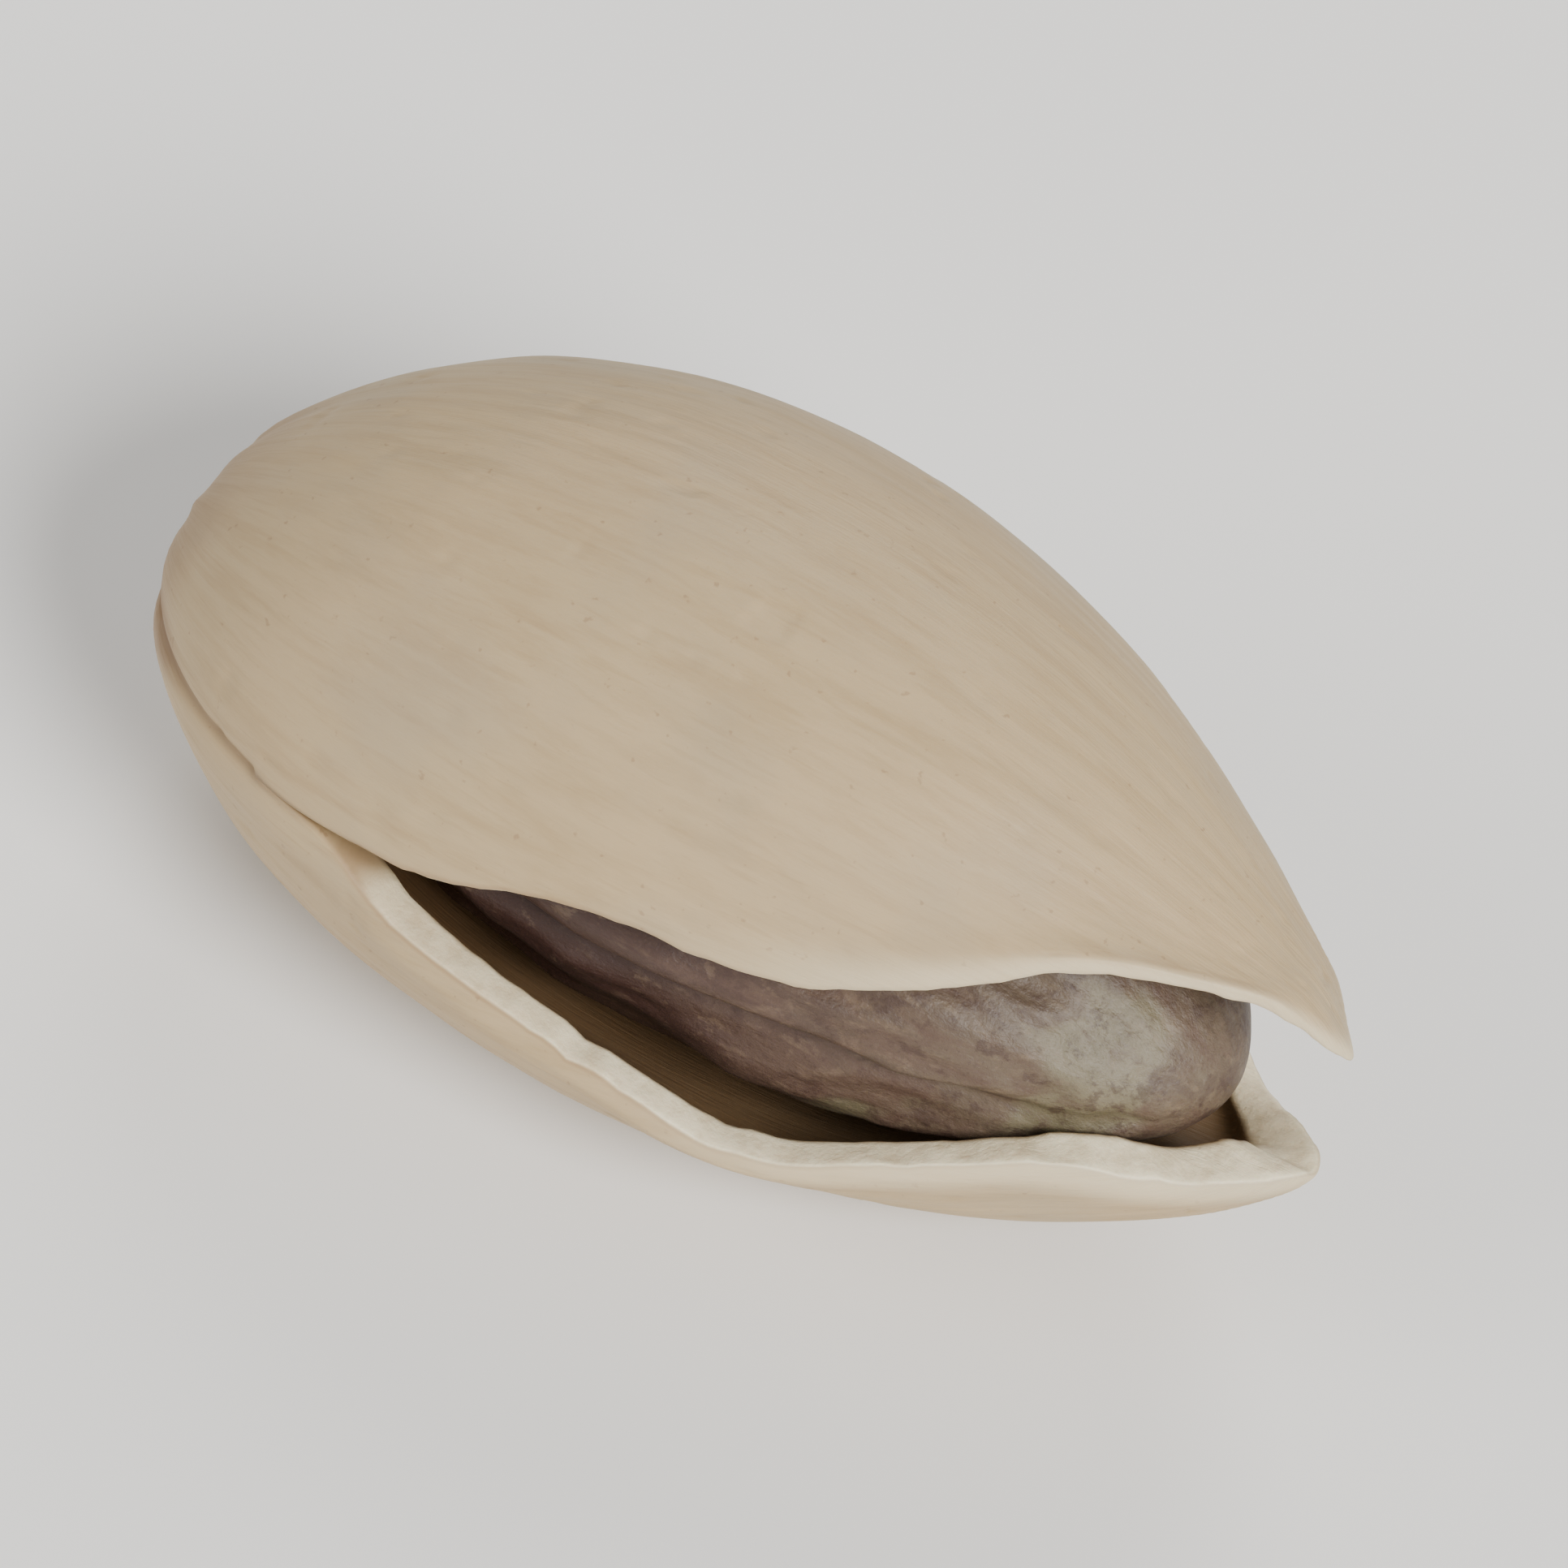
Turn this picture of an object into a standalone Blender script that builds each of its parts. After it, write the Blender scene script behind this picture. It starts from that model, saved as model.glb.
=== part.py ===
"""A pistachio nut as it comes out of the bag: its hard shell, split open along the suture but still
joined at the stem end, with the loose kernel inside. It lies on the belly of its lower half.

Both pieces start as a sphere whose poles are the two bellies and whose equator is the suture, so the
rings of faces follow the lips of the split. Lengths are in metres, +Z is up, the tip points to +X, and
the wide side of the split faces -Y."""

import math

import bmesh
import bpy
from mathutils import Euler, Matrix, Vector

MM = 0.001

# The shell's outside, before it opens
SHELL_LENGTH = 20.0 * MM
SHELL_WIDTH = 11.0 * MM  # across the suture's plane
UPPER_DEPTH = 4.75 * MM  # from the suture to each half's belly
LOWER_DEPTH = 3.9 * MM
POINT_IN_WIDTH = 0.28  # how pointed the tip is: 0 leaves an ellipse
POINT_IN_DEPTH = 0.18
POINT_ENDS = 1.04  # how far along the narrowing would reach zero, just past the tip
TIP_BEAK = 0.25 * MM  # the small point at the very tip
BEAK_SIZE = 0.30  # as a share of the half width
AXIS_BEND = 0.60 * MM  # the ends lean to the wide side of the split
BEND_MIDDLE = 0.4  # how much of the bend lies behind the axis

# The shell's wall, which is thickest at its ends and thinnest along the suture
WALL = 0.95 * MM
WALL_AT_STEM = 1.5 * MM
WALL_AT_TIP = 1.0 * MM
WALL_AT_LIP = 0.60 * MM
LIP_THINNING = 0.35  # how far up the half, as a share of its depth, the wall grows thinner
LIP_ROUNDING = 0.22 * MM
FULL_ROUNDING_AT = 0.36 * MM  # how far from the suture's plane a lip is fully rounded

# The stem scar: a dimple with a low rim
SCAR_DEPTH = 0.35 * MM
SCAR_SIZE = 0.15  # as a share of the half width
SCAR_RIM = 0.12 * MM

# The split, along the length from -1 at the stem to 1 at the tip
TIP_GAP = 1.85 * MM  # in the middle of the tip
WIDER = 0.55  # how much more the wide side opens than the middle, and the narrow side less
WIDE_SIDE_END = -0.62
NARROW_SIDE_END = -0.02
SPRING = 0.62  # how far up the half, and along the split, the joined part gives way
FULL_WAVES_AT = 0.2  # the share of the gap past which the lips' waves are whole
# Each wave of a lip: centre and width along the length, and how far it reaches into the gap
LIP_WAVES = {
    ("upper", "wide"): ((-0.29, 0.22, 0.15 * MM), (-0.02, 0.18, -0.15 * MM), (0.23, 0.20, 0.10 * MM),
                        (0.72, 0.24, -1.50 * MM), (0.97, 0.15, -0.65 * MM), (0.985, 0.05, 0.42 * MM)),
    ("lower", "wide"): ((-0.45, 0.24, -0.40 * MM), (-0.12, 0.22, -0.35 * MM), (0.26, 0.24, -1.05 * MM),
                        (0.56, 0.20, -0.30 * MM), (1.00, 0.16, 0.20 * MM)),
    ("upper", "narrow"): ((0.30, 0.14, -0.20 * MM), (0.66, 0.14, 0.15 * MM), (0.97, 0.15, -0.65 * MM),
                          (0.985, 0.05, 0.42 * MM)),
    ("lower", "narrow"): ((0.22, 0.15, 0.12 * MM), (0.64, 0.18, -0.70 * MM), (0.84, 0.12, -0.75 * MM),
                          (1.00, 0.10, 0.20 * MM)),
}
LIP_WAVE_DEPTH = 0.35  # how far up the half a wave dies out
TIP_BLEND = 0.5  # the width of the tip in which the two sides' waves meet

# The kernel, a little loose in the shell
KERNEL_LENGTH = 15.8 * MM
KERNEL_WIDTH = 8.2 * MM
KERNEL_DEPTH = 6.4 * MM
KERNEL_TAPER = 0.19  # how much narrower its tip end is, as a share
KERNEL_BEND = 0.08 * MM
KERNEL_PLACE = Vector((0.42 * MM, -0.20 * MM, 0.18 * MM))
KERNEL_TURN = Euler((math.radians(11.0), math.radians(4.3), math.radians(0.4)))
GROOVE_DEPTH = 0.30 * MM  # between the two seed leaves
GROOVE_WIDTH = 0.09
WRINKLE_DEPTH = 0.13 * MM
# Each set of wrinkles: how many run round the kernel, their twist and place round it, and their share
WRINKLES = ((7.0, 2.5, 0.0, 1.0), (11.0, -3.0, 1.0, 0.6))

# How the nut lies: rolled so that the split's wide side looks up, the tip a little raised, on a small
# worn flat under its weight
REST_ROLL = math.radians(-9.0)
REST_PITCH = math.radians(-2.0)
FLAT_DEPTH = 0.17 * MM

SHELL_SEGMENTS, SHELL_RINGS = 80, 24
KERNEL_SEGMENTS, KERNEL_RINGS = 44, 22


def smooth(t):
    """0 below t = 0, 1 above t = 1, with an S between them."""
    t = min(max(t, 0.0), 1.0)
    return t * t * (3.0 - 2.0 * t)


def bump(t, centre, width):
    """1 at the centre, falling away evenly on both sides."""
    return math.exp(-(((t - centre) / width) ** 2))


def fullness(x, pointed):
    """How wide the shell is at x, against an ellipsoid's width there: blunt at the stem and pointed at
    the tip, with no hollow between."""
    return (1.0 - x / POINT_ENDS) ** pointed


def half_gap(x, y, z):
    """How far each half has moved from the suture's plane, at x along the length. It turns about the
    stem end, bending a little, and only near the joined stretch of the suture is it held back."""
    joined_to = WIDE_SIDE_END + (NARROW_SIDE_END - WIDE_SIDE_END) * smooth((y + 1.0) / 2.0)
    freed_along = smooth((x - joined_to) / SPRING)
    freed_above = smooth(abs(z) / SPRING)
    freed = 1.0 - (1.0 - freed_along) * (1.0 - freed_above)
    return 0.5 * TIP_GAP * math.sin(0.25 * math.pi * (1.0 + x)) * freed * (1.0 - WIDER * y)


def lip_reach(half, x, y, z):
    """How far the lip's waves reach into the gap. The two sides' waves run into each other at the tip."""
    waves = {
        side: sum(reach * bump(x, centre, width) for centre, width, reach in LIP_WAVES[half, side])
        for side in ("wide", "narrow")
    }
    narrow_share = smooth(0.5 + y / TIP_BLEND)
    blended = waves["wide"] + (waves["narrow"] - waves["wide"]) * narrow_share
    return blended * bump(z, 0.0, LIP_WAVE_DEPTH)


def shell_point(direction, half, inside):
    """Where the shell's outside or inside lies for a direction of the unit sphere, on the upper or
    lower half or, where half is None, on the joined suture."""
    x, y, z = direction
    wall = WALL if inside else 0.0
    wall_beside = WALL - (WALL - WALL_AT_LIP) * bump(z, 0.0, LIP_THINNING) if inside else 0.0
    end_wall = (WALL_AT_STEM if x < 0 else WALL_AT_TIP) if inside else 0.0
    belly = LOWER_DEPTH if z < 0 else UPPER_DEPTH
    point = Vector((
        (0.5 * SHELL_LENGTH - end_wall) * x,
        (0.5 * SHELL_WIDTH - wall_beside) * y * fullness(x, POINT_IN_WIDTH),
        (belly - wall) * z * fullness(x, POINT_IN_DEPTH),
    ))
    along = point.x / (0.5 * SHELL_LENGTH)
    point.y += AXIS_BEND * (BEND_MIDDLE - along * along)
    if not inside:
        point.x += end_relief(x, math.hypot(y, z))
    if half:
        opened = half_gap(along, y, z)
        reach = lip_reach(half, along, y, z) * smooth(opened / (FULL_WAVES_AT * TIP_GAP))
        point.z += (opened - reach) * (1 if half == "upper" else -1)
    return point


def end_relief(x, from_axis):
    """How far the stem scar and the tip's beak push the outside along the length."""
    if x > 0:
        return TIP_BEAK * bump(from_axis, 0.0, BEAK_SIZE)
    rim = SCAR_RIM * bump(from_axis, 2.0 * SCAR_SIZE, SCAR_SIZE)
    return SCAR_DEPTH * bump(from_axis, 0.0, SCAR_SIZE) - rim


def kernel_point(direction):
    """Where the kernel's skin lies: an egg with a groove along the seed leaves' joint and soft
    lengthwise wrinkles."""
    x, y, z = direction
    around = math.atan2(z, y)
    groove = GROOVE_DEPTH * bump(z, 0.0, GROOVE_WIDTH) * (1.0 - x ** 8)
    ripple = sum(share * math.sin(count * around + twist * x + place)
                 for count, twist, place, share in WRINKLES)
    relief = (WRINKLE_DEPTH * ripple * (1.0 - x * x) - groove) / (0.5 * KERNEL_DEPTH)
    wide = (1.0 - KERNEL_TAPER * x) * (1.0 + relief)
    return Vector((
        0.5 * KERNEL_LENGTH * x,
        0.5 * KERNEL_WIDTH * y * wide - KERNEL_BEND * x * x,
        0.5 * KERNEL_DEPTH * z * wide,
    ))


def plain_material(name, colour, roughness):
    material = bpy.data.materials.new(name)
    material.use_nodes = True
    shader = material.node_tree.nodes["Principled BSDF"]
    shader.inputs["Base Color"].default_value = (*colour, 1.0)
    shader.inputs["Roughness"].default_value = roughness
    shader.inputs["Metallic"].default_value = 0.0
    return material


def mesh_object(name, bm, material, collection, parent=None):
    mesh = bpy.data.meshes.new(name)
    bm.to_mesh(mesh)
    bm.free()
    mesh.shade_smooth()
    if material:
        mesh.materials.append(material)
    made = bpy.data.objects.new(name, mesh)
    made.parent = parent
    collection.objects.link(made)
    return made


def half_of(vert):
    """Which half a point belongs to, from its faces, or None on the joined suture."""
    above = {face.calc_center_median().z > 0 for face in vert.link_faces}
    if len(above) == 2:
        return None
    return "upper" if above.pop() else "lower"


def split_suture(bm):
    """Cuts the sphere along its equator from the end of the split on one side, round the tip, to its
    end on the other."""
    on_equator = 1e-5

    def opens(edge):
        if any(abs(vert.co.z) > on_equator for vert in edge.verts):
            return False
        middle = (edge.verts[0].co + edge.verts[1].co) / 2
        return middle.x > (WIDE_SIDE_END if middle.y < 0 else NARROW_SIDE_END)

    bmesh.ops.split_edges(bm, edges=[edge for edge in bm.edges if opens(edge)])


def add_inside(bm):
    """Gives the sheet a second, inner side, and closes the two along the lips. Returns the inner point
    of each outer one. The lips' edges are marked for rounding, which fades out where the split ends."""
    outside = bm.faces[:]
    copy = bmesh.ops.duplicate(bm, geom=bm.verts[:] + bm.edges[:] + outside)
    inner = copy["vert_map"]
    bmesh.ops.reverse_faces(bm, faces=[new for new in copy["geom"] if isinstance(new, bmesh.types.BMFace)])
    rounding = bm.edges.layers.float.new("bevel_weight_edge")
    for face in outside:
        for corner in face.loops:
            if not corner.edge.is_boundary:
                continue
            start, end = corner.vert, corner.link_loop_next.vert
            lip = bm.faces.new((end, start, inner[start], inner[end]))
            middle = (start.co + end.co) / 2
            share = smooth(half_gap(middle.x, middle.y, 0.0) / FULL_ROUNDING_AT)
            lip.edges[0][rounding] = share
            lip.edges[2][rounding] = share
    return inner


def make_shell(collection, pose):
    """The shell: a sphere's sheet, split, doubled into an outside and an inside, shaped, and rounded
    along its lips."""
    bm = bmesh.new()
    bmesh.ops.create_uvsphere(bm, u_segments=SHELL_SEGMENTS, v_segments=SHELL_RINGS, radius=1.0)
    split_suture(bm)
    halves = {vert: half_of(vert) for vert in bm.verts}
    inner = add_inside(bm)
    for vert, half in halves.items():
        inner[vert].co = shell_point(vert.co, half, inside=True)
        vert.co = shell_point(vert.co, half, inside=False)
    material = plain_material("shell", (0.66, 0.55, 0.37), 0.55)
    shell = mesh_object("shell", bm, material, collection, pose)
    lips = shell.modifiers.new("lips", "BEVEL")
    lips.width = LIP_ROUNDING
    lips.segments = 2
    lips.limit_method = "WEIGHT"
    lips.use_clamp_overlap = False
    return shell


def make_kernel(collection, pose):
    """The kernel, with its skin on, a sphere shaped the same way."""
    bm = bmesh.new()
    bmesh.ops.create_uvsphere(bm, u_segments=KERNEL_SEGMENTS, v_segments=KERNEL_RINGS, radius=1.0)
    for vert in bm.verts:
        vert.co = kernel_point(vert.co)
    material = plain_material("kernel", (0.20, 0.19, 0.05), 0.5)
    kernel = mesh_object("kernel", bm, material, collection, pose)
    kernel.location = KERNEL_PLACE
    kernel.rotation_euler = KERNEL_TURN
    return kernel


def lay_down(shell, pose):
    """Sets the nut on the floor: its worn flat at z = 0, and the middle of its box over the origin."""
    pose.rotation_euler = Euler((REST_ROLL, REST_PITCH, 0.0))
    turn = pose.rotation_euler.to_matrix()
    rounded = shell.evaluated_get(bpy.context.evaluated_depsgraph_get())
    turned = [turn @ vert.co for vert in rounded.data.vertices]
    low = [min(point[axis] for point in turned) for axis in range(3)]
    high = [max(point[axis] for point in turned) for axis in range(3)]
    pose.location = (-(low[0] + high[0]) / 2, -(low[1] + high[1]) / 2, -low[2] - FLAT_DEPTH)


def wear_flat(shell, cutters):
    """Cuts the small flat that the nut rests on, with a block whose top is the floor."""
    side = 2.0 * SHELL_LENGTH
    bm = bmesh.new()
    bmesh.ops.create_cube(bm, size=side, matrix=Matrix.Translation((0.0, 0.0, -side / 2)))
    block = mesh_object("floor_cutter", bm, None, cutters)
    block.hide_render = True
    block.display_type = "WIRE"
    flat = shell.modifiers.new("resting flat", "BOOLEAN")
    flat.operation = "DIFFERENCE"
    flat.object = block
    flat.solver = "EXACT"


def main():
    for old in list(bpy.data.objects):
        bpy.data.objects.remove(old)
    nut = bpy.data.collections.new("pistachio")
    cutters = bpy.data.collections.new("cutters")
    for collection in (nut, cutters):
        bpy.context.scene.collection.children.link(collection)
    pose = bpy.data.objects.new("nut_pose", None)
    nut.objects.link(pose)
    shell = make_shell(nut, pose)
    make_kernel(nut, pose)
    lay_down(shell, pose)
    wear_flat(shell, cutters)


main()
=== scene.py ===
"""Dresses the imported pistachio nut: a finely modelled shell and kernel that stand for the plain solids,
with their finishes, on a pale floor in soft studio light.

Both pieces follow the same shape rules as the part's source, worked out here as whole arrays, with the
relief that the solids leave out, a higher lower lip on the wide side and a fuller kernel. Lengths are in
metres. In the nut's own frame, before it is laid down, +X is its tip, +Z its upper half and -Y the wide
side of its split."""

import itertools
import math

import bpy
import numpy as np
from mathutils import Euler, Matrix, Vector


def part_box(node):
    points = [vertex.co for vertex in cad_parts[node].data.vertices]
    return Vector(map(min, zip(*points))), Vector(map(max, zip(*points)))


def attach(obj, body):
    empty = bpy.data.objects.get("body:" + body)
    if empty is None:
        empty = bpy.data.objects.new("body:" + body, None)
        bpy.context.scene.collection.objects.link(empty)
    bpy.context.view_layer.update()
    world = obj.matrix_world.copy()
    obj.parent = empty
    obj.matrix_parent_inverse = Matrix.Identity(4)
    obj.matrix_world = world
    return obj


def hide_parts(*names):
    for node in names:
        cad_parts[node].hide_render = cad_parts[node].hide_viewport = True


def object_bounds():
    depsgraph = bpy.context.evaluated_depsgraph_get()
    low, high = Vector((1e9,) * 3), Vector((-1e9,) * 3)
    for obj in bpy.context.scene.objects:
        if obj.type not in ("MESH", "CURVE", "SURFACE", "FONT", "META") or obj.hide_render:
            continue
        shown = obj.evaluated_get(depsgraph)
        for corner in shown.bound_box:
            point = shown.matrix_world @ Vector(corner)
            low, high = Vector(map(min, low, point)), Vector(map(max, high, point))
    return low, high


bl_info = {
    "name": "Pistachio in Split Shell",
    "version": (1, 0, 0),
    "blender": (4, 5, 0),
    "location": "3D View > Sidebar > Pistachio",
    "description": "Builds the finished shell and kernel of a pistachio nut around its packed part",
    "category": "Add Mesh",
}

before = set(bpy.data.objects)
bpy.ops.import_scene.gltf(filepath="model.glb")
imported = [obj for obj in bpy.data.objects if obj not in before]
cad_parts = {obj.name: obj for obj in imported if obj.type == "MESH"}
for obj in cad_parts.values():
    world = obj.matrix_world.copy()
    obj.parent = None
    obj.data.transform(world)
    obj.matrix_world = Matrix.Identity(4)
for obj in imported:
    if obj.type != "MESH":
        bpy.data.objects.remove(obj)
CAD_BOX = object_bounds()
SHELL_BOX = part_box("shell")

# One of the nut's own millimetres, which is the frame's as long as the shell is 20.03 mm long
MM = (SHELL_BOX[1].x - SHELL_BOX[0].x) / 20.03

# The shell's outside, before it opens
SHELL_LENGTH = 20.0 * MM
SHELL_WIDTH = 11.0 * MM
UPPER_DEPTH = 4.75 * MM
LOWER_DEPTH = 3.9 * MM
POINT_IN_WIDTH = 0.28
POINT_IN_DEPTH = 0.18
POINT_ENDS = 1.04
TIP_BEAK = 0.25 * MM
BEAK_SIZE = 0.30
AXIS_BEND = 0.60 * MM
BEND_MIDDLE = 0.4

# The stem scar, and how far the bend moves it sideways
SCAR_DEPTH = 0.35 * MM
SCAR_SIZE = 0.15
SCAR_RIM = 0.12 * MM
STEM_ASIDE = AXIS_BEND * (BEND_MIDDLE - 1.0)

# The shell's wall, and where its lips start to round over, as an angle from the suture's plane
WALL = 0.95 * MM
WALL_AT_STEM = 1.5 * MM
WALL_AT_TIP = 1.0 * MM
WALL_AT_LIP = 0.60 * MM
LIP_THINNING = 0.35
LIP_STARTS = math.radians(2.2)
LIP_SQUARENESS = 4.5
FULL_ROUNDING_AT = 0.36 * MM

# The split, along the length from -1 at the stem to 1 at the tip
TIP_GAP = 1.85 * MM
WIDER = 0.55  # how much more the wide side opens than the middle
WIDE_SIDE_END = -0.62
NARROW_SIDE_END = -0.02
SPRING = 0.62
FULL_WAVES_AT = 0.2
TIP_BLEND = 0.5

# Each wave of a lip: centre and width along the length, and how far it reaches into the gap
LIP_WAVES = {
    ("upper", "wide"): ((-0.29, 0.22, 0.15 * MM), (-0.02, 0.18, -0.15 * MM), (0.23, 0.20, 0.10 * MM),
                        (0.72, 0.24, -1.50 * MM), (0.97, 0.15, -0.65 * MM), (0.985, 0.05, 0.42 * MM)),
    ("lower", "wide"): ((-0.45, 0.24, -0.40 * MM), (-0.12, 0.22, -0.35 * MM), (0.26, 0.24, -1.05 * MM),
                        (0.70, 0.13, 0.34 * MM), (1.00, 0.16, 0.20 * MM)),
    ("upper", "narrow"): ((0.30, 0.14, -0.20 * MM), (0.66, 0.14, 0.15 * MM), (0.97, 0.15, -0.65 * MM),
                          (0.985, 0.05, 0.42 * MM)),
    ("lower", "narrow"): ((0.22, 0.15, 0.12 * MM), (0.64, 0.18, -0.70 * MM), (0.84, 0.12, -0.75 * MM),
                          (1.00, 0.10, 0.20 * MM)),
}

# How far up the half a wave dies out, on the wall's outside and on its inside
WAVE_DEPTH = 0.35
WAVE_DEPTH_INSIDE = 0.50

# The lip's small unevenness, its notches, how far up the half both die out, and its face's grain
UNEVEN_DEPTH = 0.055 * MM
NOTCH_DEPTH = 0.10 * MM
UNEVEN_SIZE = 0.8 * MM
UNEVEN_REACH = 0.09
LIP_GRAIN_DEPTH = 0.035 * MM
LIP_GRAIN_SIZE = 0.30 * MM

# The relief of the shell's faces: how deep each kind is, and how large its lumps are
BROAD_DEPTH = 0.055 * MM
BROAD_SIZE = 3.4 * MM
SMALL_DEPTH = 0.022 * MM
SMALL_SIZE = 1.3 * MM
RIDGE_DEPTH = 0.018 * MM
RIDGE_SIZE = 0.8 * MM
FINE_RIDGE_DEPTH = 0.010 * MM
FINE_RIDGE_SIZE = 0.34 * MM
PIT_DEPTH = 0.035 * MM
PIT_SIZE = 0.42 * MM
FIBRE_DEPTH = 0.05 * MM
FIBRE_SIZE = 0.16 * MM
INSIDE_DEPTH = 0.03 * MM
INSIDE_SIZE = 1.9 * MM

# The bands beside the suture: how deep, and how wide or how far from it
MARGIN_HEIGHT = 0.045 * MM
MARGIN_PLACE = 0.55 * MM
MARGIN_WIDTH = 0.40 * MM
SUTURE_DEPTH = 0.10 * MM
SUTURE_WIDTH = 0.11 * MM

# The tube that lengthwise patterns are read on: its radius, and half its length for the ridges
GRAIN_RING = 5.5 * MM
RIDGE_STRETCH = 1.6 * MM

# The kernel
KERNEL_LENGTH = 15.8 * MM
KERNEL_WIDTH = 8.2 * MM
KERNEL_DEPTH = 6.4 * MM
KERNEL_TAPER = 0.19
KERNEL_TIP_FULLNESS = 2.2  # the power of its tip end's profile, 2 for an ellipse
KERNEL_TIP_LONGER = 0.20 * MM
KERNEL_BEND = 0.08 * MM
KERNEL_PLACE = np.array((0.42, -0.05, 0.18)) * MM
KERNEL_TURN = Euler((math.radians(11.0), math.radians(4.3), math.radians(0.4)))

# The kernel's skin
GROOVE_DEPTH = 0.30 * MM
GROOVE_WIDTH = 0.09
WRINKLE_DEPTH = 0.13 * MM
FINE_WRINKLE_DEPTH = 0.09 * MM
FINE_WRINKLE_SIZE = 0.70 * MM
FINEST_DEPTH = 0.045 * MM
FINEST_SIZE = 0.30 * MM
SKIN_THICKNESS = 0.05 * MM
WORN_PATCH_SIZE = 1.4 * MM
# Each set of wrinkles: how many run round the kernel, their twist and place round it, and their share
WRINKLES = ((7.0, 2.5, 0.0, 1.0), (11.0, -3.0, 1.0, 0.6))

# How the nut lies
REST_TURN = Euler((math.radians(-9.0), math.radians(-2.0), 0.0))

# The grids: on each half of the shell, columns round the belly and rows from the outside's belly over
# the lip to the inside's. The lip's rows are a multiple of four, so that two of them lie on its corners.
SHELL_COLUMNS = 288
WALL_ROWS = 92
LIP_ROWS = 12
INSIDE_ROWS = 40
OUTER_CORNER = WALL_ROWS + LIP_ROWS // 4
INNER_CORNER = WALL_ROWS + 3 * LIP_ROWS // 4
KERNEL_COLUMNS = 260
KERNEL_ROWS = 180

LATTICE = 48  # cells along each side of the noise's block before it repeats

# The stage. Each lamp: its azimuth, elevation and width in the sky in degrees, and its share of the key
FLOOR_SIDE = 8.0
SKY_STRENGTH = 0.34
LAMPS = {
    "key": (62.0, 38.0, 28.0, 1.0),
    "fill": (-45.0, 30.0, 38.0, 0.20),
    "rim": (200.0, 40.0, 30.0, 0.22),
}


def display(red, green, blue):
    """A colour as a screen shows it, from 0 to 255, as the linear one that Blender holds."""
    return tuple(
        share / 12.92 if share <= 0.04045 else ((share + 0.055) / 1.055) ** 2.4
        for share in (red / 255, green / 255, blue / 255)
    )


def smooth(t):
    """0 below t = 0 and 1 above t = 1, with an S between them."""
    t = np.clip(t, 0.0, 1.0)
    return t * t * (3.0 - 2.0 * t)


def bump(t, centre, width):
    """1 at the centre, falling away evenly on both sides."""
    return np.exp(-(((t - centre) / width) ** 2))


def lumps(points, size, seed):
    """Smooth noise from about -1 to 1 with lumps of a size: random values at the corners of a lattice of
    cubes, blended inside each cube by the S-curve of the three coordinates."""
    values = np.random.default_rng(seed).uniform(-1.0, 1.0, (LATTICE,) * 3)
    scaled = points / size
    cell = np.floor(scaled).astype(int)
    share = smooth(scaled - cell)
    total = np.zeros(points.shape[:-1])
    for corner in itertools.product((0, 1), repeat=3):
        weight = np.prod(np.where(corner, share, 1.0 - share), axis=-1)
        place = np.moveaxis((cell + corner) % LATTICE, -1, 0)
        total += weight * values[tuple(place)]
    return total


def layered(points, size, seed, layers=3):
    """Noise with finer and fainter noise on it: each layer is half as large and half as strong."""
    return sum(lumps(points, size / 2 ** n, seed + n) / 2 ** n for n in range(layers))


def ridged(points, size, seed):
    """Noise folded at its middle, so that 1 is along thin crests."""
    return 1.0 - 2.0 * np.abs(lumps(points, size, seed))


def column(low, high, steps):
    """Even steps from low to high, one to a row."""
    return np.linspace(low, high, steps + 1)[:, None]


def full_turn(count):
    """Even angles round a full turn, the last one a step short of the first."""
    return np.arange(count) * 2.0 * math.pi / count


def turned(points, turn):
    """Points turned about the origin."""
    return points @ np.array(turn.to_matrix()).T


def on_tube(along, around):
    """Points of a tube about the nut's length, for patterns that run lengthwise."""
    return np.stack((along, GRAIN_RING * np.cos(around), GRAIN_RING * np.sin(around)), axis=-1)


def on_shell(x, y, z):
    """Directions of the unit sphere as places on a plain ellipsoid of the shell's size."""
    return np.stack((x * SHELL_LENGTH, y * SHELL_WIDTH, 2.0 * z * UPPER_DEPTH), axis=-1) / 2


def fullness(x, pointed):
    """How wide the shell is at x against an ellipsoid's width there: a power of the distance to just past
    the tip."""
    return (1.0 - x / POINT_ENDS) ** pointed


def half_gap(x, y, z):
    """How far each half has moved from the suture's plane: a quarter sine wave from the stem to the tip,
    held back near the joined stretch by an S-curve along the split and one up the half."""
    joined_to = WIDE_SIDE_END + (NARROW_SIDE_END - WIDE_SIDE_END) * smooth((y + 1.0) / 2.0)
    freed_along = smooth((x - joined_to) / SPRING)
    freed_above = smooth(np.abs(z) / SPRING)
    freed = 1.0 - (1.0 - freed_along) * (1.0 - freed_above)
    return 0.5 * TIP_GAP * np.sin(0.25 * math.pi * (1.0 + x)) * freed * (1.0 - WIDER * y)


def lip_reach(half, x, y, z, depth):
    """How far the lip's waves reach into the gap: the sum of each side's bell curves along the length,
    blended across the tip, dying out up the half as a bell curve of a depth."""
    waves = {
        side: sum(reach * bump(x, centre, width) for centre, width, reach in LIP_WAVES[half, side])
        for side in ("wide", "narrow")
    }
    narrow_share = smooth(0.5 + y / TIP_BLEND)
    blended = waves["wide"] + (waves["narrow"] - waves["wide"]) * narrow_share
    return blended * bump(z, 0.0, depth)


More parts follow.
